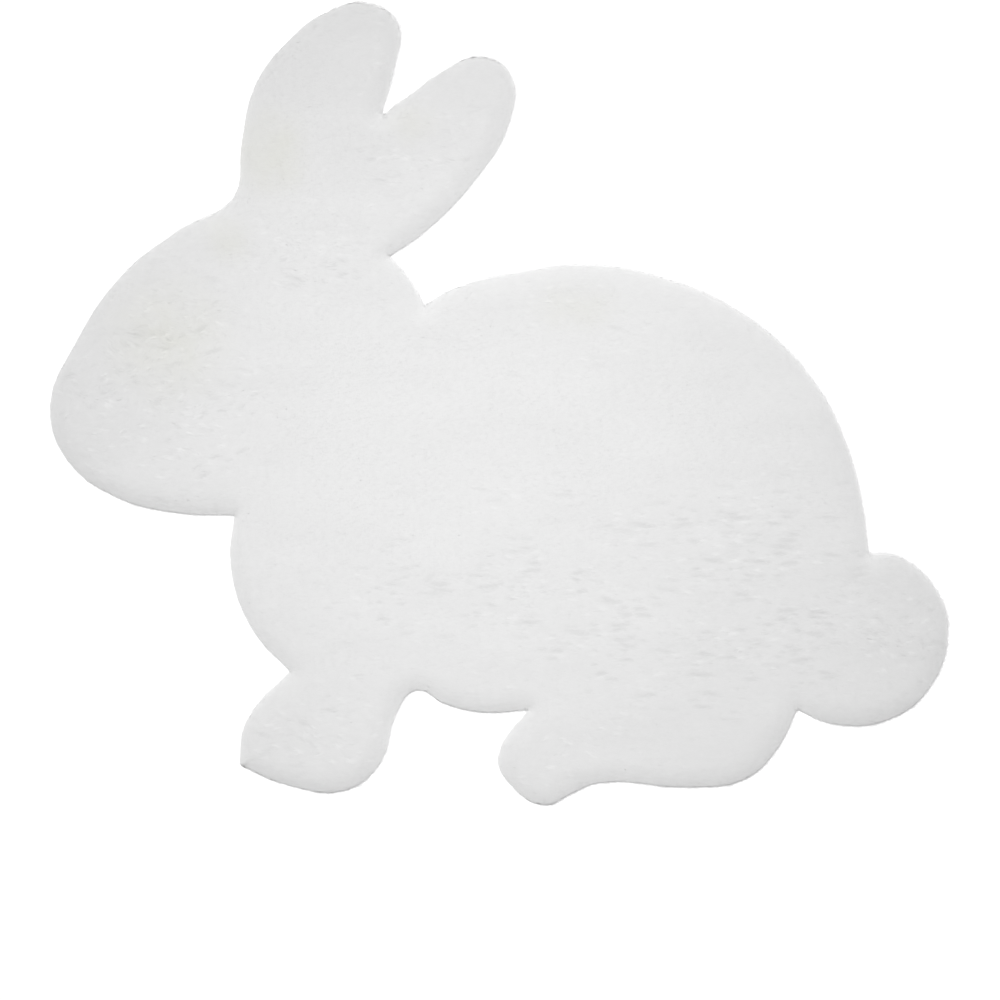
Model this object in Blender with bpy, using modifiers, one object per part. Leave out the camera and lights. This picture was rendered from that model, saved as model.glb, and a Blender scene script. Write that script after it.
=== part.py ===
"""A child's rug cut in the shape of a sitting rabbit, from one piece of white plush fur fabric.

It lies flat on the floor with its pile up. The rabbit looks towards -X and its ears point
towards +Y. The origin is on the floor, under the middle of the rug's length and width.
"""

import bpy
import bmesh

RUG_LENGTH = 0.900           # nose to tail, along X
RUG_WIDTH = 0.804            # ear tip to hind toes, along Y
RUG_THICKNESS = 0.020        # cloth and standing pile together, along Z
EDGE_ROUNDING = 0.014        # how far the pile rolls over at the rim
EDGE_STEPS = 4               # facets across that roll
CURVE_STEPS = 4              # straight runs between two knots of the outline
CORNER_REACH = 0.28          # length of a notch's handles, as a share of the next knot's distance
FLAT_TOLERANCE = 0.00005     # a vertex this close to the top counts as on it
WELD_DISTANCE = 0.00005

SMOOTH = "smooth"            # the cut runs round through this knot
NOTCH = "notch"              # the cut turns sharply here, between two limbs

# Knots of the cut line, clockwise as seen from above, in millimetres from the rug's middle.
OUTLINE = [
    # place on the rabbit,     x,     y, turn
    ("ear foot, front",     -266,   207, SMOOTH),
    ("front ear, shin",     -258,   260, SMOOTH),
    ("front ear, waist",    -245,   318, SMOOTH),
    ("front ear, shoulder", -215,   360, SMOOTH),
    ("front ear, crown",    -172,   393, SMOOTH),
    ("front ear, tip",      -128,   401, SMOOTH),
    ("front ear, nose",      -99,   378, SMOOTH),
    ("front ear, back",     -103,   340, SMOOTH),
    ("between the ears",    -116,   291, NOTCH),
    ("back ear, front",      -92,   308, SMOOTH),
    ("back ear, crown",      -62,   330, SMOOTH),
    ("back ear, tip",        -17,   348, SMOOTH),
    ("back ear, nose",        12,   330, SMOOTH),
    ("back ear, back",        12,   284, SMOOTH),
    ("back ear, waist",      -24,   223, SMOOTH),
    ("back ear, shin",       -76,   170, SMOOTH),
    ("ear foot, back",      -108,   148, NOTCH),
    ("nape",                 -89,   126, SMOOTH),
    ("neck",                 -74,   101, NOTCH),
    ("shoulder",             -46,   116, SMOOTH),
    ("withers",               28,   134, SMOOTH),
    ("top of the back",       76,   140, SMOOTH),
    ("middle of the back",   150,   131, SMOOTH),
    ("loin",                 250,    87, SMOOTH),
    ("rump",                 318,    19, SMOOTH),
    ("haunch",               346,   -36, SMOOTH),
    ("thigh",                363,   -98, SMOOTH),
    ("over the tail",        370,  -148, NOTCH),
    ("tail, top",            402,  -153, SMOOTH),
    ("tail, shoulder",       436,  -184, SMOOTH),
    ("tail, end",            449,  -224, SMOOTH),
    ("tail, heel",           431,  -283, SMOOTH),
    ("tail, bottom",         388,  -316, SMOOTH),
    ("tail, root",           330,  -319, SMOOTH),
    ("under the tail",       298,  -306, NOTCH),
    ("hock",                 279,  -344, SMOOTH),
    ("heel",                 246,  -375, SMOOTH),
    ("hind sole, back",      190,  -383, SMOOTH),
    ("hind sole, front",      98,  -379, SMOOTH),
    ("ball of the hind foot", 72,  -390, SMOOTH),
    ("hind toes, bottom",     46,  -401, SMOOTH),
    ("hind toes, front",       9,  -379, SMOOTH),
    ("hind toes, top",        -2,  -353, SMOOTH),
    ("instep",                28,  -306, NOTCH),
    ("belly, back",          -20,  -308, SMOOTH),
    ("belly, front",         -58,  -298, SMOOTH),
    ("between the legs",     -82,  -286, SMOOTH),
    ("front leg, back",     -101,  -308, SMOOTH),
    ("front heel",          -117,  -358, SMOOTH),
    ("front sole, back",    -152,  -386, SMOOTH),
    ("front sole, front",   -214,  -380, SMOOTH),
    ("front toe",           -260,  -360, NOTCH),
    ("front toes, top",     -254,  -318, SMOOTH),
    ("wrist",               -210,  -267, NOTCH),
    ("chest, bottom",       -248,  -224, SMOOTH),
    ("chest",               -269,  -160, SMOOTH),
    ("throat",              -265,  -111, NOTCH),
    ("chin",                -319,  -109, SMOOTH),
    ("jaw",                 -384,   -92, SMOOTH),
    ("mouth",               -434,   -53, SMOOTH),
    ("nose",                -449,     0, SMOOTH),
    ("bridge of the nose",  -425,    59, SMOOTH),
    ("forehead",            -377,   130, SMOOTH),
    ("brow",                -321,   174, SMOOTH),
]

MILLIMETRE = 0.001


def clear_scene():
    """Remove whatever the scene starts with."""
    for item in list(bpy.data.objects):
        bpy.data.objects.remove(item, do_unlink=True)


def new_collection(name):
    """A collection of its own for the rug's parts."""
    collection = bpy.data.collections.new(name)
    bpy.context.scene.collection.children.link(collection)
    return collection


def plain_material(name, colour, roughness, metallic):
    """A Principled material with one colour."""
    material = bpy.data.materials.new(name)
    material.use_nodes = True
    shader = material.node_tree.nodes["Principled BSDF"]
    shader.inputs["Base Color"].default_value = (*colour, 1.0)
    shader.inputs["Roughness"].default_value = roughness
    shader.inputs["Metallic"].default_value = metallic
    return material


def white_fur():
    """Matt white plush."""
    return plain_material("white_fur", (0.83, 0.83, 0.82), 0.95, 0.0)


def aim_corner(knot, before, after):
    """Point a notch's two handles straight at its neighbours, so that the cut turns sharply."""
    knot.handle_left_type = "FREE"
    knot.handle_right_type = "FREE"
    knot.handle_left = knot.co + (before.co - knot.co) * CORNER_REACH
    knot.handle_right = knot.co + (after.co - knot.co) * CORNER_REACH


def outline_curve():
    """The cut line as a filled flat curve, given half the rug's thickness on each side."""
    curve = bpy.data.curves.new("rabbit_outline", "CURVE")
    curve.dimensions = "2D"
    curve.fill_mode = "BOTH"
    curve.extrude = RUG_THICKNESS / 2
    curve.resolution_u = CURVE_STEPS
    spline = curve.splines.new("BEZIER")
    spline.use_cyclic_u = True
    spline.bezier_points.add(len(OUTLINE) - 1)
    knots = spline.bezier_points
    for knot, (_, x, y, _) in zip(knots, OUTLINE):
        knot.co = (x * MILLIMETRE, y * MILLIMETRE, 0.0)
        knot.handle_left_type = "AUTO"
        knot.handle_right_type = "AUTO"
    for i, (_, _, _, turn) in enumerate(OUTLINE):
        if turn == NOTCH:
            aim_corner(knots[i], knots[i - 1], knots[(i + 1) % len(OUTLINE)])
    return curve


def solid_from_curve(curve, name):
    """The filled curve as one closed mesh, standing on the floor."""
    guide = bpy.data.objects.new("outline_guide", curve)
    bpy.context.scene.collection.objects.link(guide)
    evaluated = guide.evaluated_get(bpy.context.evaluated_depsgraph_get())
    mesh = bpy.data.meshes.new_from_object(evaluated)
    bpy.data.objects.remove(guide, do_unlink=True)
    mesh.name = name
    body = bmesh.new()
    body.from_mesh(mesh)
    bmesh.ops.remove_doubles(body, verts=body.verts, dist=WELD_DISTANCE)
    bmesh.ops.dissolve_limit(body, angle_limit=0.001, verts=body.verts, edges=body.edges)
    bmesh.ops.recalc_face_normals(body, faces=body.faces)
    fit_to_size(body)
    body.to_mesh(mesh)
    body.free()
    return mesh


def fit_to_size(body):
    """Centre the outline over the origin at the rug's exact length and width, on the floor."""
    low = [min(vert.co[axis] for vert in body.verts) for axis in range(3)]
    high = [max(vert.co[axis] for vert in body.verts) for axis in range(3)]
    size = (RUG_LENGTH, RUG_WIDTH, RUG_THICKNESS)
    for vert in body.verts:
        for axis in range(3):
            share = (vert.co[axis] - low[axis]) / (high[axis] - low[axis])
            middle = 0.0 if axis == 2 else 0.5
            vert.co[axis] = (share - middle) * size[axis]


def mark_top_edge(mesh):
    """Give the rim of the top face the bevel weight that its rounding follows."""
    weight = mesh.attributes.new("bevel_weight_edge", "FLOAT", "EDGE")
    top = RUG_THICKNESS - FLAT_TOLERANCE
    for edge in mesh.edges:
        heights = [mesh.vertices[i].co.z for i in edge.vertices]
        weight.data[edge.index].value = 1.0 if min(heights) > top else 0.0


def fur_rug(collection):
    """The whole rug, cloth and pile, as one flat solid with a rolled top edge."""
    mesh = solid_from_curve(outline_curve(), "fur_rug")
    mark_top_edge(mesh)
    mesh.materials.append(white_fur())
    rug = bpy.data.objects.new("fur_rug", mesh)
    collection.objects.link(rug)
    roll = rug.modifiers.new("rolled rim", "BEVEL")
    roll.limit_method = "WEIGHT"
    roll.width = EDGE_ROUNDING
    roll.segments = EDGE_STEPS
    roll.use_clamp_overlap = False
    mesh.shade_smooth()
    mesh.set_sharp_from_angle(angle=0.9)
    return rug


clear_scene()
fur_rug(new_collection("rabbit_rug"))
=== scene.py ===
"""The looks of a rabbit shaped kids rug: a knitted ground cloth, dense underfur, and a soft white pile.

The cut line is read from the frame's solid. Every height and lean of the pile is a function of how
far a hair's root stands inside that line, and of where on the rabbit it grows.
"""

import math

import bpy
import numpy as np
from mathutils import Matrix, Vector


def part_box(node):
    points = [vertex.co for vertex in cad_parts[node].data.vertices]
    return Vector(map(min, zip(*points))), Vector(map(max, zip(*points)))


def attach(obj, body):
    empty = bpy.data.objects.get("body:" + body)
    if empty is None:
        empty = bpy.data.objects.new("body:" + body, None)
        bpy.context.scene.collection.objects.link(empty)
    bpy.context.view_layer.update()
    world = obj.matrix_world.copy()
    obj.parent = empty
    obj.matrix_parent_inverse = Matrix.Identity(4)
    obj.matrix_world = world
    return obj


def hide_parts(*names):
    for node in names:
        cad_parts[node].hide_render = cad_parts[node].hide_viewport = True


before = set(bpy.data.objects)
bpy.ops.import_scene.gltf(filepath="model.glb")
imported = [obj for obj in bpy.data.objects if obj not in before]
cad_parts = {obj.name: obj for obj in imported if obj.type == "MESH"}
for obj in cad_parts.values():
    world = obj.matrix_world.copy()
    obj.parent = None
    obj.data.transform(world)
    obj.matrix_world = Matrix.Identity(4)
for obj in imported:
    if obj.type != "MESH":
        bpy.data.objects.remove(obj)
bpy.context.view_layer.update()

RUG = "fur_rug"
TOTAL_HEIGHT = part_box(RUG)[1].z

MM = 0.001

# Cloth
GROUND_INSET = 8 * MM          # the pile overhangs the cut edge of the cloth by this much
GROUND_THICKNESS = 1.8 * MM

# Pile: its surface is flat, and falls to the floor by the cut line in a squared quarter ellipse
SWELL = 1.4 * MM               # room for the pile's unevenness, under the rug's full height
PILE_HEIGHT = TOTAL_HEIGHT - SWELL
RIM_INSET = 1.2 * MM           # the hairs' roots end this far inside the cut line
ROLL_REACH = 25 * MM           # how far in from the cut line the fall starts
ROLL_POWER = 2.15              # 2 is an ellipse; more is squarer, with a softer shoulder
UNDERFUR_INSET = 2 * MM
UNDERFUR_DEPTH = 0.65 * MM     # the dense underfur ends this far inside the pile's surface
HAIR_LENGTH = 10 * MM          # the part of a hair that shows, lying along the nap
HAIR_WIDTH = 1.35 * MM
ROOT_WIDTH = 0.8               # of the blade's width at its middle
HAIR_SPACING = 1.30 * MM
HAIR_SINK = 0.22 * MM          # how far under the pile's surface a hair comes into sight
RIM_REACH = 5 * MM             # the steep outer part of the fall has hairs of its own
FRINGE = 0.45                  # the most that a hair runs on over the floor, of its length left there
LOWEST_WAY = 0.5 * MM          # a hair is followed down the fall to this far from its end
CORNER_SLACK = 0.2 * MM        # how far a hair may stray from the pile's surface round a corner
TURN_OUT = 1.6                 # how strongly hairs on the fall turn outwards
LENGTH_SCATTER = 0.15          # of the length: by place, and again by hair
HAIR_LIFT = 0.06 * MM          # how unevenly the hairs stand proud of the pile's surface
HAIR_CLEARANCE = 0.3 * MM      # a hair's spine stays this far above the floor
EDGE_CLEARANCE = 0.1 * MM      # and its blade's edges this far
NAP_HEADING = 0.0              # radians from +X: the pile is brushed from nose to tail
LATTICE_TURN = 0.338           # radians between the nap and the rows the hairs grow in
HEADING_SCATTER = 0.16         # radians, by hair
PIECES_OF_PILE = 5

# How the heading sways: the noise's size and seed, its swing in radians, and what ruffling adds
SWAYS = [
    (60 * MM, 11, 0.16, 0.0),
    (16 * MM, 12, 0.14, 1.1),
    (6 * MM, 13, 0.10, 0.5),
]

# A blade's five points, two at the root, two in the middle and the tip: their shares of its colour's
# way from root to tip, and their places in its cell of the map
BLADE_ALONG = (0.0, 0.0, 0.62, 0.62, 1.0)
BLADE_U = (0.2, 0.8, 0.2, 0.8, 0.5)
BLADE_V = (0.1, 0.1, 0.6, 0.6, 0.95)

# How pale a hair is, as shares of its white: broad drift of its own, and painted shade and light
DRIFT_SHADE = 0.012            # lighter and darker by broad patches
PARTING_SHADE = 0.09           # painted shade where the pile is parted, painted light on its raised lines
PAINTED_FOOT_LIGHT = 0.2            # painted light low on the fall, for the light coming back from the floor

# How a hair is lit: as the pile's surface there, as its own blade, and as a flat floor
LIT_AS_PILE = 0.47
LIT_AS_BLADE = 0.1
LIT_AS_FLOOR = 0.43

# Floor, light and camera
FLOOR_HALF = 15.0
FLOOR_DROP = 0.2 * MM          # the floor lies this far under the rug
FLOOR_GLOW = 0.42
ROOM_LIGHT = 0.565
LAMP_PLACE = (-0.30, 1.20, 3.20)
LAMP_TARGET = (0.0, -0.09, 0.0)
LAMP_SIZE = 0.9
LAMP_SPREAD = math.radians(31)
LAMP_POWER = 2.45
LENS = 150.0                   # in millimetres, as is the sensor's width
SENSOR = 36.0
FRAME_WIDTH = 0.999            # what the camera sees across, at the frame's height
FRAME_CENTRE = (1.5 * MM, -96.4 * MM, 8 * MM)

SEED = 20                      # of every scatter by hair


# ---------------------------------------------------------------- fields over the floor

class Field:
    """Numbers at the knots of a square grid over the floor, read straight between them."""

    def __init__(self, values, low, step):
        self.values = values
        self.low = low
        self.step = step

    def at(self, spots):
        """The number at each spot, from the four knots round it."""
        place = (spots - self.low) / self.step
        rows, columns = self.values.shape
        corner = np.clip(np.floor(place).astype(int), 0, (columns - 2, rows - 2))
        x, y = corner.T
        u, v = (place - corner).T
        low = self.values[y, x] * (1 - u) + self.values[y, x + 1] * u
        high = self.values[y + 1, x] * (1 - u) + self.values[y + 1, x + 1] * u
        return low * (1 - v) + high * v

    def slope(self, spots, steps=1):
        """How fast the number grows with x and with y, over some steps each way."""
        reach = steps * self.step
        dx = np.array([reach, 0.0])
        dy = np.array([0.0, reach])
        along_x = self.at(spots + dx) - self.at(spots - dx)
        along_y = self.at(spots + dy) - self.at(spots - dy)
        return np.stack([along_x, along_y], 1) / (2 * reach)


def cut_line(node, tolerance=0.02 * MM):
    """The rim of the node's flat underside, as an (n, 2) array of points in order.

    An edge of the underside that only one of its triangles uses lies on the rim; each such edge
    starts where another ends, so following them gives the whole line.
    """
    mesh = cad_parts[node].data
    places = np.empty(len(mesh.vertices) * 3)
    mesh.vertices.foreach_get("co", places)
    places = places.reshape(-1, 3)
    mesh.calc_loop_triangles()
    corners = np.empty(len(mesh.loop_triangles) * 3, int)
    mesh.loop_triangles.foreach_get("vertices", corners)
    corners = corners.reshape(-1, 3)
    low = places[:, 2] < places[:, 2].min() + tolerance
    corners = corners[low[corners].all(1)]
    spots, merged = np.unique(np.round(places[:, :2], 6), axis=0, return_inverse=True)
    return spots[rim_order(merged.ravel()[corners])]


def rim_order(corners):
    """The points along the open edge of some triangles, in order round it."""
    count = corners.max() + 1
    starts = corners.ravel()
    ends = np.roll(corners, -1, axis=1).ravel()
    rim = ~np.isin(starts * count + ends, ends * count + starts)
    follows = dict(zip(starts[rim].tolist(), ends[rim].tolist()))
    first = next(iter(follows))
    order = [first]
    while follows[order[-1]] != first:
        order.append(follows[order[-1]])
    return np.array(order)


def depth_field(line, step=2 * MM, margin=30 * MM):
    """How far inside the cut line each place is: the least distance to any straight run of it,
    below zero outside. A place is inside when a ray to its right crosses the line an odd number
    of times.
    """
    low = line.min(0) - margin
    across, up = np.ceil((line.max(0) + margin - low) / step).astype(int) + 1
    xs = low[0] + step * np.arange(across)
    after = np.roll(line, -1, axis=0)
    run = after - line
    length = (run ** 2).sum(1)
    rows = []
    for y in low[1] + step * np.arange(up):
        to_x = xs[:, None] - line[None, :, 0]
        to_y = y - line[None, :, 1]
        along = np.clip((to_x * run[:, 0] + to_y * run[:, 1]) / length, 0, 1)
        gap = np.hypot(to_x - along * run[:, 0], to_y - along * run[:, 1]).min(1)
        crosses = (line[:, 1] > y) != (after[:, 1] > y)
        where = line[crosses, 0] + (y - line[crosses, 1]) / run[crosses, 1] * run[crosses, 0]
        within = (where[None, :] > xs[:, None]).sum(1) % 2 == 1
        rows.append(np.where(within, gap, -gap))
    return Field(np.array(rows), low, step)


def hashed(x, y, seed):
    """A value from -1 to 1 for each whole x and y: their bits mixed by large odd factors."""
    mixed = (x * 73856093) ^ (y * 19349663) ^ (seed * 83492791)
    mixed = (mixed ^ (mixed >> 13)) * 1274126177 & 0x7FFFFFFF
    mixed = (mixed ^ (mixed >> 16)) * 668265263 & 0x7FFFFFFF
    return (mixed & 0xFFFF) / 32767.5 - 1.0


def soft_noise(spots, size, seed):
    """Smooth noise from -1 to 1: a hashed value at each corner of a grid of cells, eased between
    by 3t^2 - 2t^3. size is a cell's side, or its (length, width) along x and y. Each noise has a
    seed of its own, so that no two rise and fall together.
    """
    place = spots / np.asarray(size) + 500.0
    cell = np.floor(place).astype(np.int64)
    part = place - cell
    x, y = cell.T
    u, v = (part * part * (3 - 2 * part)).T
    low = hashed(x, y, seed) * (1 - u) + hashed(x + 1, y, seed) * u
    high = hashed(x, y + 1, seed) * (1 - u) + hashed(x + 1, y + 1, seed) * u
    return low * (1 - v) + high * v


def nearest_centre(spots, size, seed, jitter=0.4):
    """One jittered point a cell: the nearest to each spot, and three hashed values of its cell."""
    size = np.broadcast_to(np.asarray(size, float), (2,))
    home = np.floor(spots / size).astype(np.int64)
    best = np.full(len(spots), np.inf)
    nearest = np.zeros_like(spots)
    found = home.copy()
    for dx in (-1, 0, 1):
        for dy in (-1, 0, 1):
            cell = home + (dx, dy)
            x, y = cell.T
            stray = jitter * np.stack([hashed(x, y, seed), hashed(x, y, seed + 1)], 1)
            point = (cell + 0.5 + stray) * size
            far = (((point - spots) / size) ** 2).sum(1)
            closer = far < best
            best[closer] = far[closer]
            nearest[closer] = point[closer]
            found[closer] = cell[closer]
    x, y = found.T
    return nearest, [hashed(x, y, seed + k) for k in (2, 3, 4)]


def blob(spots, centre, reach):
    """1 at a centre, falling to 0 at its reach by a smooth step."""
    far = np.clip(np.linalg.norm((spots - np.array(centre)) / np.array(reach), axis=1), 0, 1)
    return 1 - far * far * (3 - 2 * far)


def patches(spots, table):
    """The strongest of a table's blobs at each spot."""
    return np.max([amount * blob(spots, centre, reach) for centre, reach, amount in table], axis=0)


LINE = cut_line(RUG)
DEPTH = depth_field(LINE)


def outward(spots, steps=1):
    """The way to the nearest part of the cut line, as unit vectors: minus the slope of the depth."""
    slope = DEPTH.slope(spots, steps)
    return -slope / np.maximum(np.linalg.norm(slope, axis=1, keepdims=True), 1e-9)


# ---------------------------------------------------------------- meshes

def new_piece(name, mesh, material):
    """An object of a mesh, with its material."""
    mesh.materials.append(material)
    piece = bpy.data.objects.new(name, mesh)
    bpy.context.scene.collection.objects.link(piece)
    return piece


def triangle_mesh(name, places, corners):
    """A mesh from an array of places and one of triangles."""
    mesh = bpy.data.meshes.new(name)
    mesh.vertices.add(len(places))
    mesh.vertices.foreach_set("co", np.ascontiguousarray(places, np.float32).ravel())
    mesh.loops.add(corners.size)
    mesh.loops.foreach_set("vertex_index", corners.ravel().astype(np.int32))
    mesh.polygons.add(len(corners))
    mesh.polygons.foreach_set("loop_start", np.arange(0, corners.size, 3, dtype=np.int32))
    mesh.update(calc_edges=True)
    return mesh


def lattice(cell, inset, snap=0.55, slack=0.1):
    """Points of a triangular lattice over the rug, and its triangles, anticlockwise.

    Points within snap of a cell of the line that lies inset inside the cut are moved onto it, and
    only the triangles inside that line are kept, or outside it by no more than slack of a cell.
    """
    low = LINE.min(0) - cell
    high = LINE.max(0) + cell
    rise = cell * math.sqrt(3) / 2
    columns = int((high[0] - low[0]) / cell) + 2
    rows = int((high[1] - low[1]) / rise) + 2
    j, i = np.mgrid[0:rows, 0:columns]
    spots = np.stack([low[0] + cell * (i + 0.5 * (j % 2)), low[1] + rise * j], -1).reshape(-1, 2)
    number = (j * columns + i)[:-1, :-1]
    a, b, c, d = number, number + 1, number + columns, number + columns + 1
    odd = (j % 2 == 1)[:-1, :-1]
    first = np.where(odd[..., None], np.stack([a, b, d], -1), np.stack([a, b, c], -1))
    second = np.where(odd[..., None], np.stack([a, d, c], -1), np.stack([b, d, c], -1))
    corners = np.concatenate([first.reshape(-1, 3), second.reshape(-1, 3)])
    near = np.abs(DEPTH.at(spots) - inset) < snap * cell
    for _ in range(3):
        off = DEPTH.at(spots[near]) - inset
        spots[near] += outward(spots[near]) * off[:, None]
    within = (DEPTH.at(spots) - inset > -slack * cell) | near
    kept = within[corners].all(1) & ~near[corners].all(1)
    used, corners = np.unique(corners[kept], return_inverse=True)
    return spots[used], corners.reshape(-1, 3)


def wall(upper, lower):
    """Quads between two closed rows of points, facing outwards when the rows run anticlockwise."""
    return np.stack([upper, lower, np.roll(lower, -1), np.roll(upper, -1)], 1).tolist()


# ---------------------------------------------------------------- materials

class Value:
    """One socket of a material's nodes, with Python's arithmetic."""

    def __init__(self, nodes, socket):
        self.nodes = nodes
        self.socket = socket

    def _maths(self, operation, first, second):
        return self.nodes.add("ShaderNodeMath", {"operation": operation}, {0: first, 1: second})

    def __add__(self, other):
        return self._maths("ADD", self, other)

    def __radd__(self, other):
        return self._maths("ADD", other, self)

    def __mul__(self, other):
        return self._maths("MULTIPLY", self, other)

    def __rmul__(self, other):
        return self._maths("MULTIPLY", other, self)


class Nodes:
    """The node tree of a new material with one Principled shader."""

    def __init__(self, name):
        self.material = bpy.data.materials.new(name)
        self.material.use_nodes = True
        self.tree = self.material.node_tree
        self.shader = self.tree.nodes["Principled BSDF"]

    def add(self, kind, settings, inputs, output=0):
        """Add one node: its settings are set first, then its sockets are given values or links."""
        node = self.tree.nodes.new(kind)
        for name, value in settings.items():
            setattr(node, name, value)
        for name, value in inputs.items():
            self.feed(node.inputs[name], value)
        return Value(self, node.outputs[output])

    def feed(self, socket, value):
        """Link a value to a socket, or set a plain number, colour or vector on it."""
        if isinstance(value, Value):
            self.tree.links.new(value.socket, socket)
        else:
            socket.default_value = value

    def surface(self, **values):
        """Set or link the Principled shader's sockets, named with underscores for spaces."""
        for name, value in values.items():
            self.feed(self.shader.inputs[name.replace("_", " ")], value)
        return self.material

    def place(self):
        """The place on the object."""
        return self.add("ShaderNodeTexCoord", {}, {}, "Object")

    def attribute(self, name):
        """A number that the mesh carries at each vertex."""
        return self.add("ShaderNodeAttribute", {"attribute_name": name}, {}, "Fac")

    def noise(self, place, scale, detail):
        """Cloudy noise from 0 to 1."""
        return self.add("ShaderNodeTexNoise", {}, {
            "Vector": place, "Scale": scale, "Detail": detail, "Roughness": 0.5}, "Fac")

    def mix(self, share, first, second):
        """A colour that goes from the first to the second with a share."""
        return self.add("ShaderNodeMix", {"data_type": "RGBA"}, {0: share, 6: first, 7: second}, 2)

    def bump(self, height, distance):
        """A surface direction tilted by the slope of a height."""
        return self.add("ShaderNodeBump", {}, {
            "Height": height, "Distance": distance, "Strength": 1.0}, "Normal")


TIP_WHITE = (0.81, 0.81, 0.81, 1.0)
# the root is paler than the tip: painted light where the hairs shade each other's roots
ROOT_WHITE = (0.83, 0.83, 0.83, 1.0)
WARM_WHITE = (0.770, 0.772, 0.722, 1.0)
UNDERFUR_WHITES = ((0.80, 0.80, 0.80, 1.0), (0.86, 0.86, 0.86, 1.0))
KNIT_WHITES = ((0.66, 0.655, 0.63, 1.0), (0.80, 0.795, 0.77, 1.0))


def pile_material():
    """White plush hair: a little paler at the root, painted light where less light comes, with faint
    warm patches. Each hair is up to 0.8 % lighter or darker than the rest; the mesh's shade number adds
    broad drift, painted shade and painted light.
    """
    nodes = Nodes("white plush pile")
    along = nodes.attribute("along")
    lock = nodes.attribute("lock")
    warm = nodes.attribute("warm")
    body = nodes.mix(along, ROOT_WHITE, TIP_WHITE)
    tinted = nodes.mix(warm, body, WARM_WHITE)
    value = nodes.attribute("shade") * (0.992 + lock * 0.016)
    shade = nodes.add("ShaderNodeHueSaturation", {}, {"Value": value, "Color": tinted}, 0)
    return nodes.surface(Base_Color=shade, Roughness=0.75, Specular_IOR_Level=0.15)


def underfur_material():
    """The dense lower pile, seen between the hairs."""
    nodes = Nodes("white underfur")
    fine = nodes.noise(nodes.place(), 900.0, 3.0)
    colour = nodes.mix(fine, *UNDERFUR_WHITES)
    return nodes.surface(
        Base_Color=colour, Roughness=0.95, Specular_IOR_Level=0.05, Normal=nodes.bump(fine, 1.5 * MM))


def ground_material():
    """The knitted back of the fabric: rows of small loops."""
    nodes = Nodes("knitted ground cloth")
    place = nodes.place()
    wales = nodes.add("ShaderNodeTexWave", {"bands_direction": "X"}, {
        "Vector": place, "Scale": 110.0, "Distortion": 1.2, "Detail": 1.0}, "Fac")
    courses = nodes.add("ShaderNodeTexWave", {"bands_direction": "Y"}, {
        "Vector": place, "Scale": 150.0, "Distortion": 1.6, "Detail": 1.0}, "Fac")
    loops = wales * courses
    colour = nodes.mix(loops, *KNIT_WHITES)
    return nodes.surface(
        Base_Color=colour, Roughness=0.9, Specular_IOR_Level=0.1, Normal=nodes.bump(loops, 0.5 * MM))


# ---------------------------------------------------------------- the pile's surface

# The fall from the side, a quarter turn from the floor to the flat of the pile: inwards by a power
# of the cosine and upwards by the same power of the sine, with the way gone over it and its slope
QUARTER = np.linspace(0, math.pi / 2, 4000)
ROLL_IN = ROLL_REACH - (ROLL_REACH - RIM_INSET) * np.cos(QUARTER) ** (2 / ROLL_POWER)
ROLL_UP = PILE_HEIGHT * np.sin(QUARTER) ** (2 / ROLL_POWER)
ROLL_ALONG = np.concatenate([[0], np.cumsum(np.hypot(np.diff(ROLL_IN), np.diff(ROLL_UP)))])
ROLL_LENGTH = ROLL_ALONG[-1]
FACES_OUT = np.gradient(ROLL_UP, ROLL_ALONG)
FACES_UP = np.gradient(ROLL_IN, ROLL_ALONG)


def along_roll(depth):
    """The way up over the pile's surface, from the floor by the cut line to a depth inside it."""
    fall = np.interp(depth, ROLL_IN, ROLL_ALONG)
    return np.where(depth < ROLL_REACH, fall, depth - ROLL_REACH + ROLL_LENGTH)


def depth_at(along):
    """The depth inside the cut line after a way over the pile's surface."""
    fall = np.interp(along, ROLL_ALONG, ROLL_IN)
    return np.where(along < ROLL_LENGTH, fall, along - ROLL_LENGTH + ROLL_REACH)


def height_at(along):
    """The height of the pile's surface after a way over it."""
    return np.interp(along, ROLL_ALONG, ROLL_UP)


# How ruffled the pile is, from 0 where it is brushed flat: centre, reach, amount
RUFFLED = [
    ((-0.355, 0.020), (0.19, 0.19), 1.0),      # cheek and muzzle
    ((-0.190, 0.150), (0.10, 0.08), 0.6),      # nape
    ((0.410, -0.230), (0.12, 0.12), 0.9),      # tail
    ((-0.180, -0.340), (0.12, 0.09), 0.8),     # front foot
    ((0.080, -0.350), (0.16, 0.08), 0.7),      # hind toes
    ((-0.080, 0.230), (0.12, 0.12), 0.5),      # foot of the ears
    ((-0.120, 0.350), (0.07, 0.08), 0.6),      # tip of the front ear
    ((0.060, 0.100), (0.10, 0.05), 0.5),       # top of the back
]

# How often the pile is parted by short dark lines: centre, reach, amount
PARTED = [
    ((0.080, -0.190), (0.42, 0.17), 1.0),      # belly
    ((0.240, -0.190), (0.22, 0.18), 1.3),      # haunch
    ((-0.355, 0.020), (0.19, 0.19), 1.2),      # cheek and muzzle
    ((-0.190, 0.150), (0.11, 0.09), 0.8),      # nape
    ((0.410, -0.230), (0.12, 0.12), 0.9),      # tail
    ((-0.180, -0.340), (0.12, 0.09), 0.7),     # front foot
    ((-0.080, 0.230), (0.14, 0.12), 0.7),      # foot of the ears
    ((0.060, 0.060), (0.22, 0.08), 0.6),       # top of the back
]

# Faint yellowish patches: centre, reach, amount
WARM = [
    ((-0.335, 0.064), (0.085, 0.085), 0.70),   # beside the muzzle
    ((-0.232, 0.250), (0.050, 0.060), 0.95),   # foot of the front ear
    ((-0.276, 0.161), (0.035, 0.035), 0.50),   # brow
    ((-0.090, 0.278), (0.035, 0.030), 0.45),   # between the ears
    ((0.073, 0.095), (0.060, 0.035), 0.45),    # top of the back
]


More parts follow.
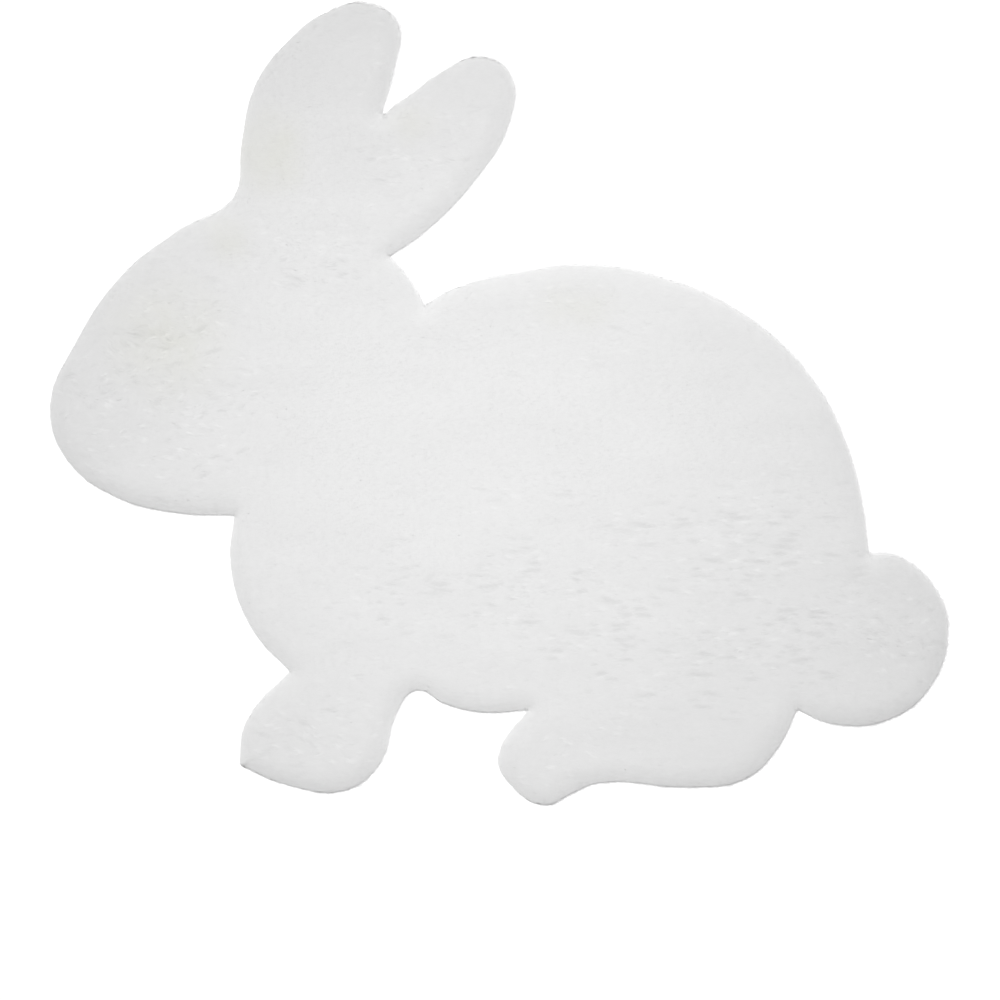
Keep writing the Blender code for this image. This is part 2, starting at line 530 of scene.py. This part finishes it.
def dashes(spots, size, seed, often):
    """Short lines along the nap, from 0 to 1: at most one a cell, its height a bell across it and a
    dome along it. Each has a turn, a length and a strength of its own. Where the pile is ruffled
    they turn more and are shorter.
    """
    centre, (turn, stretch, chance) = nearest_centre(spots, size, seed)
    ruffle = patches(centre, RUFFLED)
    turn = turn * (0.22 + 0.9 * ruffle)
    off = spots - centre
    forth = off[:, 0] * np.cos(turn) + off[:, 1] * np.sin(turn)
    aside = off[:, 1] * np.cos(turn) - off[:, 0] * np.sin(turn)
    reach = size[0] * (0.29 + 0.16 * stretch) * (1 - 0.35 * ruffle)
    strength = np.clip(often - (0.5 + 0.5 * chance), 0, 0.5) * 2
    bell = np.exp(-(aside / (1.2 * MM + 0.08 * reach)) ** 2)
    return strength * bell * np.clip(1 - (forth / reach) ** 2, 0, 1) ** 1.5


def pile_fields(step=0.8 * MM):
    """The pile's soft unevenness, in metres, and its painted shading: 1 where it is parted, painted in
    shade, -0.7 where it is raised, painted in light.

    Broad swells, locks and fine lines along the nap are added; raised lines lift it, and parted
    lines cut into it, but not by the cut line, where the pile is combed out.
    """
    low = LINE.min(0) - 4 * step
    across, up = np.ceil((LINE.max(0) - low) / step).astype(int) + 5
    y, x = np.mgrid[0:up, 0:across]
    spots = low + step * np.stack([x.ravel(), y.ravel()], 1)
    ruffle = patches(spots, RUFFLED)
    inside = np.clip(DEPTH.at(spots) / (12 * MM), 0, 1)
    drifts = np.clip(0.6 + 0.9 * soft_noise(spots, (60 * MM, 30 * MM), 24), 0, 1)
    often = patches(spots, PARTED) * drifts
    parted = dashes(spots, (44 * MM, 7 * MM), 31, 0.08 + 0.95 * often)
    short = dashes(spots, (17 * MM, 6 * MM), 51, 0.06 + 0.95 * often)
    parted = np.maximum(parted, (0.7 + 0.3 * ruffle) * short)
    raised = dashes(spots, (19 * MM, 8 * MM), 41, 0.12 + 0.80 * np.maximum(ruffle, 0.7 * often))
    parted *= inside
    raised *= inside
    height = 0.5 * soft_noise(spots, 45 * MM, 21)
    height += (0.13 + 0.26 * ruffle * inside) * soft_noise(spots, 13 * MM, 22)
    height += (0.06 + 0.07 * ruffle) * soft_noise(spots, (15 * MM, 3.5 * MM), 23)
    height += 0.5 * raised - 0.45 * parted
    # painted shade in the partings, painted light on the raised lines
    parting_light_and_shade = parted - 0.7 * raised
    relief = Field(MM * height.reshape(up, across), low, step)
    return relief, Field(parting_light_and_shade.reshape(up, across), low, step)


RELIEF, PARTING_LIGHT_AND_SHADE = pile_fields()


def surface(spots, along, out):
    """Where the pile's surface is over some spots, and which way it faces.

    The fall by the cut line gives a height and an outward slope; the relief lifts it and tilts it.
    """
    places = np.column_stack([spots, height_at(along) + RELIEF.at(spots)])
    up = np.interp(along, ROLL_ALONG, FACES_UP)
    faces = np.column_stack([out * np.interp(along, ROLL_ALONG, FACES_OUT)[:, None], up])
    faces[:, :2] -= RELIEF.slope(spots) * up[:, None]
    return places, faces / np.linalg.norm(faces, axis=1, keepdims=True)


# ---------------------------------------------------------------- the rug

def make_ground(line):
    """The ground cloth: a flat closed sheet inside a line."""
    count = len(line)
    places = np.column_stack([np.tile(line, (2, 1)), np.repeat([GROUND_THICKNESS, 0.0], count)])
    top = np.arange(count)
    faces = [top.tolist(), (top[::-1] + count).tolist(), *wall(top, top + count)]
    mesh = bpy.data.meshes.new("ground_cloth")
    mesh.from_pydata(places.tolist(), [], faces)
    return new_piece("ground_cloth", mesh, ground_material())


def make_underfur(cell=3.4 * MM, clearance=0.1 * MM):
    """The dense lower pile: the pile's surface drawn in on every side, and closed by a flat foot
    just above the ground cloth.
    """
    spots, corners = lattice(cell, UNDERFUR_INSET)
    along = along_roll(DEPTH.at(spots) - UNDERFUR_DEPTH)
    foot = GROUND_THICKNESS + clearance
    top = np.maximum(height_at(along) + RELIEF.at(spots) - UNDERFUR_DEPTH, foot + clearance)
    rim = rim_order(corners)
    places = np.concatenate([
        np.column_stack([spots, top]), np.column_stack([spots[rim], np.full(len(rim), foot)])])
    low = len(spots) + np.arange(len(rim))
    mesh = bpy.data.meshes.new("underfur")
    mesh.from_pydata(places.tolist(), [], [*corners.tolist(), low[::-1].tolist(), *wall(rim, low)])
    mesh.shade_smooth()
    return new_piece("underfur", mesh, underfur_material())


def even_line(step, smoothing=5 * MM, probe=4 * MM):
    """The cut line as points a near-equal step apart, and the outward way at each.

    The way is square to the run between a point's neighbours, and is the mean of those within the
    smoothing on each side. A probe along it tells which of the two square ways leads outwards.
    """
    closed = np.vstack([LINE, LINE[:1]])
    gone = np.concatenate([[0], np.cumsum(np.linalg.norm(np.diff(closed, axis=0), axis=1))])
    at = np.arange(0, gone[-1], step)
    spots = np.stack([np.interp(at, gone, closed[:, 0]), np.interp(at, gone, closed[:, 1])], 1)
    run = np.roll(spots, -1, axis=0) - np.roll(spots, 1, axis=0)
    out = np.stack([run[:, 1], -run[:, 0]], 1)
    spread = int(smoothing / step)
    out = sum(np.roll(out, k, axis=0) for k in range(-spread, spread + 1))
    out /= np.linalg.norm(out, axis=1, keepdims=True)
    return spots, out * -np.sign(DEPTH.at(spots + out * probe).mean())


def hair_roots(rng):
    """Where the hairs grow, how far over the pile's surface that is, and the outward way there.

    A jittered triangular lattice covers the whole rug, turned from the nap so that no two rows of
    hairs lie in line; the steep outer fall has rows of its own, that follow the cut line. The
    outward way of the lattice's hairs is taken over a few steps, so it turns gently by a corner.
    """
    rise = HAIR_SPACING * math.sqrt(3) / 2
    half = int(np.linalg.norm(np.ptp(LINE, axis=0)) / 2 / rise) + 1
    j, i = np.mgrid[-half:half + 1, -half:half + 1]
    top = np.stack([HAIR_SPACING * (i + 0.5 * (j % 2)), rise * j], -1).reshape(-1, 2)
    top += rng.uniform(-0.3, 0.3, top.shape) * HAIR_SPACING
    turn = NAP_HEADING + LATTICE_TURN
    top = top @ np.array([[math.cos(turn), math.sin(turn)], [-math.sin(turn), math.cos(turn)]])
    top += (LINE.max(0) + LINE.min(0)) / 2
    top = top[(top > LINE.min(0)).all(1) & (top < LINE.max(0)).all(1)]
    top = top[DEPTH.at(top) > RIM_INSET]
    line, out = even_line(HAIR_SPACING)
    reach = float(along_roll(RIM_REACH))
    rows = int(reach / rise)
    along = (np.arange(rows)[:, None] + rng.uniform(0, 1, (rows, len(line)))) * reach / rows
    shift = rng.uniform(-0.5, 0.5, (rows, len(line)))[..., None] * HAIR_SPACING
    side = line + shift * np.stack([-out[:, 1], out[:, 0]], 1) - out * depth_at(along)[..., None]
    side, along = side.reshape(-1, 2), along.ravel()
    kept = DEPTH.at(side) > depth_at(along) - RIM_INSET
    roots = np.concatenate([top, side[kept]])
    outs = np.concatenate([outward(top, 3), np.tile(out, (rows, 1))[kept]])
    return roots, np.concatenate([along_roll(DEPTH.at(top)), along[kept]]), outs


def over_surface(roots, along, out, travel, fringe):
    """Where a point comes to that travels over the pile's surface, and which way that faces.

    The part of its way that leads outwards runs down the fall. What is left of it at the floor runs
    on along the floor, shortened to a share of itself, the fringe. Round a corner of the cut line
    the place reached is nearer to the line than its way tells, and there it lies lower.
    """
    sideways = np.stack([-out[:, 1], out[:, 0]], 1)
    gone = along - (travel * out).sum(1)
    past = np.maximum(LOWEST_WAY - gone, 0)
    gone = np.maximum(gone, LOWEST_WAY)
    shift = depth_at(along) - depth_at(gone) + fringe * past
    spots = roots + out * shift[:, None] + sideways * (travel * sideways).sum(1, keepdims=True)
    true = along_roll(DEPTH.at(spots)) + CORNER_SLACK
    places, faces = surface(spots, np.maximum(np.minimum(gone, true), LOWEST_WAY), out)
    faces[:, 2] += past / MM
    return places, faces / np.linalg.norm(faces, axis=1, keepdims=True)


def hair_shapes(roots, along, out, rng):
    """Root, middle and tip of every hair, each with the way the pile faces there.

    A hair comes up from a little under the pile's surface, and lies along the nap close to it, its
    heading swayed by noise of three sizes and drawn to the centre of its lock. By the cut line its
    way turns outwards and it falls over the cut, except where the nap comes in over the line.
    """
    count = len(roots)
    ruffle = patches(roots, RUFFLED) * np.clip(along / ROLL_LENGTH, 0, 1)
    heading = np.full(count, NAP_HEADING)
    for size, seed, swing, added in SWAYS:
        heading += (swing + added * ruffle) * soft_noise(roots, size, seed)
    heading += rng.normal(0, HEADING_SCATTER, count)
    way = np.stack([np.cos(heading), np.sin(heading)], 1)
    leeward = np.clip(1 + TURN_OUT * (way * out).sum(1), 0, 1)
    way += out * (TURN_OUT * leeward * np.clip(1 - along / ROLL_LENGTH, 0, 1))[:, None]
    way /= np.maximum(np.linalg.norm(way, axis=1, keepdims=True), 1e-9)
    uneven = LENGTH_SCATTER * soft_noise(roots, 14 * MM, 14) + rng.normal(0, LENGTH_SCATTER, count)
    travel = way * (HAIR_LENGTH * (1 + uneven))[:, None]
    gather = 0.15 * (nearest_centre(roots, (11 * MM, 3.5 * MM), 17)[0] - roots)
    fringe = rng.uniform(0, FRINGE, count)
    points = []
    rise = np.abs(rng.normal(0, HAIR_LIFT, count))
    for share, lift in ((0.0, rise - HAIR_SINK), (0.5, rise), (1.0, 1.5 * rise)):
        place, faces = over_surface(roots, along, out, share * (travel + gather), fringe)
        place += faces * lift[:, None]
        place[:, 2] = np.maximum(place[:, 2], HAIR_CLEARANCE)
        points.append((place, faces))
    return points


def hair_mesh(name, points, tints, material, rng):
    """Joined hairs: each a thin blade of two pairs of points and a tip, lying across the way the
    pile faces and lit as part of it. The blades are wider where the pile is steep, as they grow
    evenly over the floor and so stand farther apart there. Their colour carries painted shade where
    the pile is parted, painted light on its raised lines, and painted light low on the fall, where light
    comes back from the floor.
    """
    (root, root_faces), (middle, middle_faces), (tip, tip_faces) = points
    count = len(root)
    across = np.cross(tip - root, middle_faces + rng.normal(0, 0.06, root.shape))
    across /= np.maximum(np.linalg.norm(across, axis=1, keepdims=True), 1e-9)
    steep = 1 / np.clip(middle_faces[:, 2], 0.6, 1)
    half = across * (HAIR_WIDTH * steep * rng.uniform(0.38, 0.62, count))[:, None]
    narrow = ROOT_WIDTH * half
    places = np.stack([root - narrow, root + narrow, middle - half, middle + half, tip], 1)
    places[..., 2] = np.maximum(places[..., 2], EDGE_CLEARANCE)
    first = 5 * np.arange(count)[:, None]
    corners = np.concatenate([first + (0, 1, 3), first + (0, 3, 2), first + (2, 3, 4)], 1).reshape(-1, 3)
    mesh = triangle_mesh(name, places.reshape(-1, 3), corners)
    add_attribute(mesh, "along", np.tile(BLADE_ALONG, count))
    add_attribute(mesh, "lock", np.repeat(rng.uniform(0, 1, count), 5))
    add_attribute(mesh, "warm", np.repeat(tints, 5))
    spots, height = middle[:, :2], middle[:, 2]
    # broad drift of tone, then painted shade in the partings and painted light on the raised lines
    shade = 1 + DRIFT_SHADE * soft_noise(spots, (70 * MM, 22 * MM), 61) - PARTING_SHADE * PARTING_LIGHT_AND_SHADE.at(spots)
    # painted light low on the fall, for the light coming back from the floor
    shade += PAINTED_FOOT_LIGHT * (1 - np.minimum(height / PILE_HEIGHT, 1)) ** 2
    add_attribute(mesh, "shade", np.repeat(shade, 5))
    own = np.cross(across, tip - middle)
    own /= np.maximum(np.linalg.norm(own, axis=1, keepdims=True), 1e-9)
    own *= np.sign((own * middle_faces).sum(1, keepdims=True) + 1e-9)
    faces = np.stack([root_faces, root_faces, middle_faces, middle_faces, tip_faces], 1)
    shown = LIT_AS_PILE * faces + LIT_AS_BLADE * own[:, None, :] + (0, 0, LIT_AS_FLOOR)
    shown /= np.linalg.norm(shown, axis=2, keepdims=True)
    layer = mesh.attributes.new("custom_normal", "FLOAT_VECTOR", "POINT")
    layer.data.foreach_set("vector", shown.astype(np.float32).ravel())
    strand_map(mesh, count)
    mesh.update()
    return new_piece(name, mesh, material)


def add_attribute(mesh, name, values):
    """One number a vertex, for the material to read."""
    layer = mesh.attributes.new(name, "FLOAT", "POINT")
    layer.data.foreach_set("value", np.asarray(values, np.float32))


def strand_map(mesh, count):
    """A map with a cell of its own for each hair, its root at the cell's foot, its tip at the top."""
    columns = int(math.sqrt(count * 2.6))
    rows = -(-count // columns)
    column = np.arange(count) % columns
    row = np.arange(count) // columns
    u = (column[:, None] + BLADE_U) / columns
    v = (row[:, None] + BLADE_V) / rows
    layer = mesh.uv_layers.new(name="OFBake")
    corner = np.empty(len(mesh.loops), np.int32)
    mesh.loops.foreach_get("vertex_index", corner)
    spots = np.stack([u.ravel(), v.ravel()], 1)[corner]
    layer.uv.foreach_set("vector", spots.astype(np.float32).ravel())


def make_pile(rng):
    """The hairs, joined in pieces from nose to tail, each with the same number of them."""
    roots, along, out = hair_roots(rng)
    order = np.argsort(roots[:, 0], kind="stable")
    roots, along, out = roots[order], along[order], out[order]
    points = hair_shapes(roots, along, out, rng)
    tints = patches(roots, WARM) * (0.75 + 0.25 * soft_noise(roots, 12 * MM, 30))
    material = pile_material()
    pile = []
    edges = np.linspace(0, len(roots), PIECES_OF_PILE + 1).astype(int)
    for number, (start, end) in enumerate(zip(edges[:-1], edges[1:])):
        part = slice(start, end)
        cut = [(place[part], faces[part]) for place, faces in points]
        pile.append(hair_mesh(f"pile_{number + 1}", cut, tints[part], material, rng))
    return pile


def make_rug():
    """The ground cloth, the underfur and the pile, tied to the frame.

    The cloth's area is half the sum of the cross products of its rim's neighbouring points.
    """
    spots, corners = lattice(4 * MM, GROUND_INSET)
    line = spots[rim_order(corners)]
    ground = make_ground(line)
    under = make_underfur()
    pile = make_pile(np.random.default_rng(SEED))
    for piece in [ground, under, *pile]:
        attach(piece, "root")
    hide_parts(RUG)
    after = np.roll(line, -1, axis=0)
    area = abs(float((line[:, 0] * after[:, 1] - after[:, 0] * line[:, 1]).sum())) / 2


# ---------------------------------------------------------------- floor, light and camera

def make_floor():
    """A plain pale floor, lit a little from within like a light table."""
    nodes = Nodes("pale floor")
    material = nodes.surface(
        Base_Color=(0.86, 0.86, 0.86, 1.0), Roughness=0.9, Specular_IOR_Level=0.1,
        Emission_Color=(1.0, 1.0, 1.0, 1.0), Emission_Strength=FLOOR_GLOW)
    mesh = bpy.data.meshes.new("floor")
    half = FLOOR_HALF
    corners = [(-half, -half, 0), (half, -half, 0), (half, half, 0), (-half, half, 0)]
    mesh.from_pydata(corners, [], [(0, 1, 2, 3)])
    floor = new_piece("floor", mesh, material)
    floor.location.z = -FLOOR_DROP


def soft_box(name, place, target, size, spread, power):
    """A square area light, aimed at a target, its light kept within an angle."""
    light = bpy.data.lights.new(name, "AREA")
    light.shape = "SQUARE"
    light.size = size
    light.spread = spread
    light.energy = power
    lamp = bpy.data.objects.new(name, light)
    bpy.context.scene.collection.objects.link(lamp)
    lamp.location = place
    aim = Vector(target) - Vector(place)
    lamp.rotation_euler = aim.to_track_quat("-Z", "Y").to_euler()


def make_light():
    """An even pale room, and one large soft light beyond the rabbit's back."""
    world = bpy.data.worlds.new("room")
    bpy.context.scene.world = world
    world.use_nodes = True
    backdrop = world.node_tree.nodes["Background"]
    backdrop.inputs["Color"].default_value = (1.0, 1.0, 1.0, 1.0)
    backdrop.inputs["Strength"].default_value = ROOM_LIGHT
    soft_box("overhead", LAMP_PLACE, LAMP_TARGET, LAMP_SIZE, LAMP_SPREAD, LAMP_POWER)


def make_camera():
    """A long lens straight above, its frame a little below the middle of the rug."""
    data = bpy.data.cameras.new("camera")
    data.lens = LENS
    data.sensor_width = SENSOR
    camera = bpy.data.objects.new("camera", data)
    bpy.context.scene.collection.objects.link(camera)
    bpy.context.scene.camera = camera
    x, y, z = FRAME_CENTRE
    camera.location = (x, y, z + FRAME_WIDTH * LENS / SENSOR)
    data.clip_end = 100.0


make_rug()
make_floor()
make_light()
make_camera()
bpy.context.scene.view_settings.view_transform = "Standard"
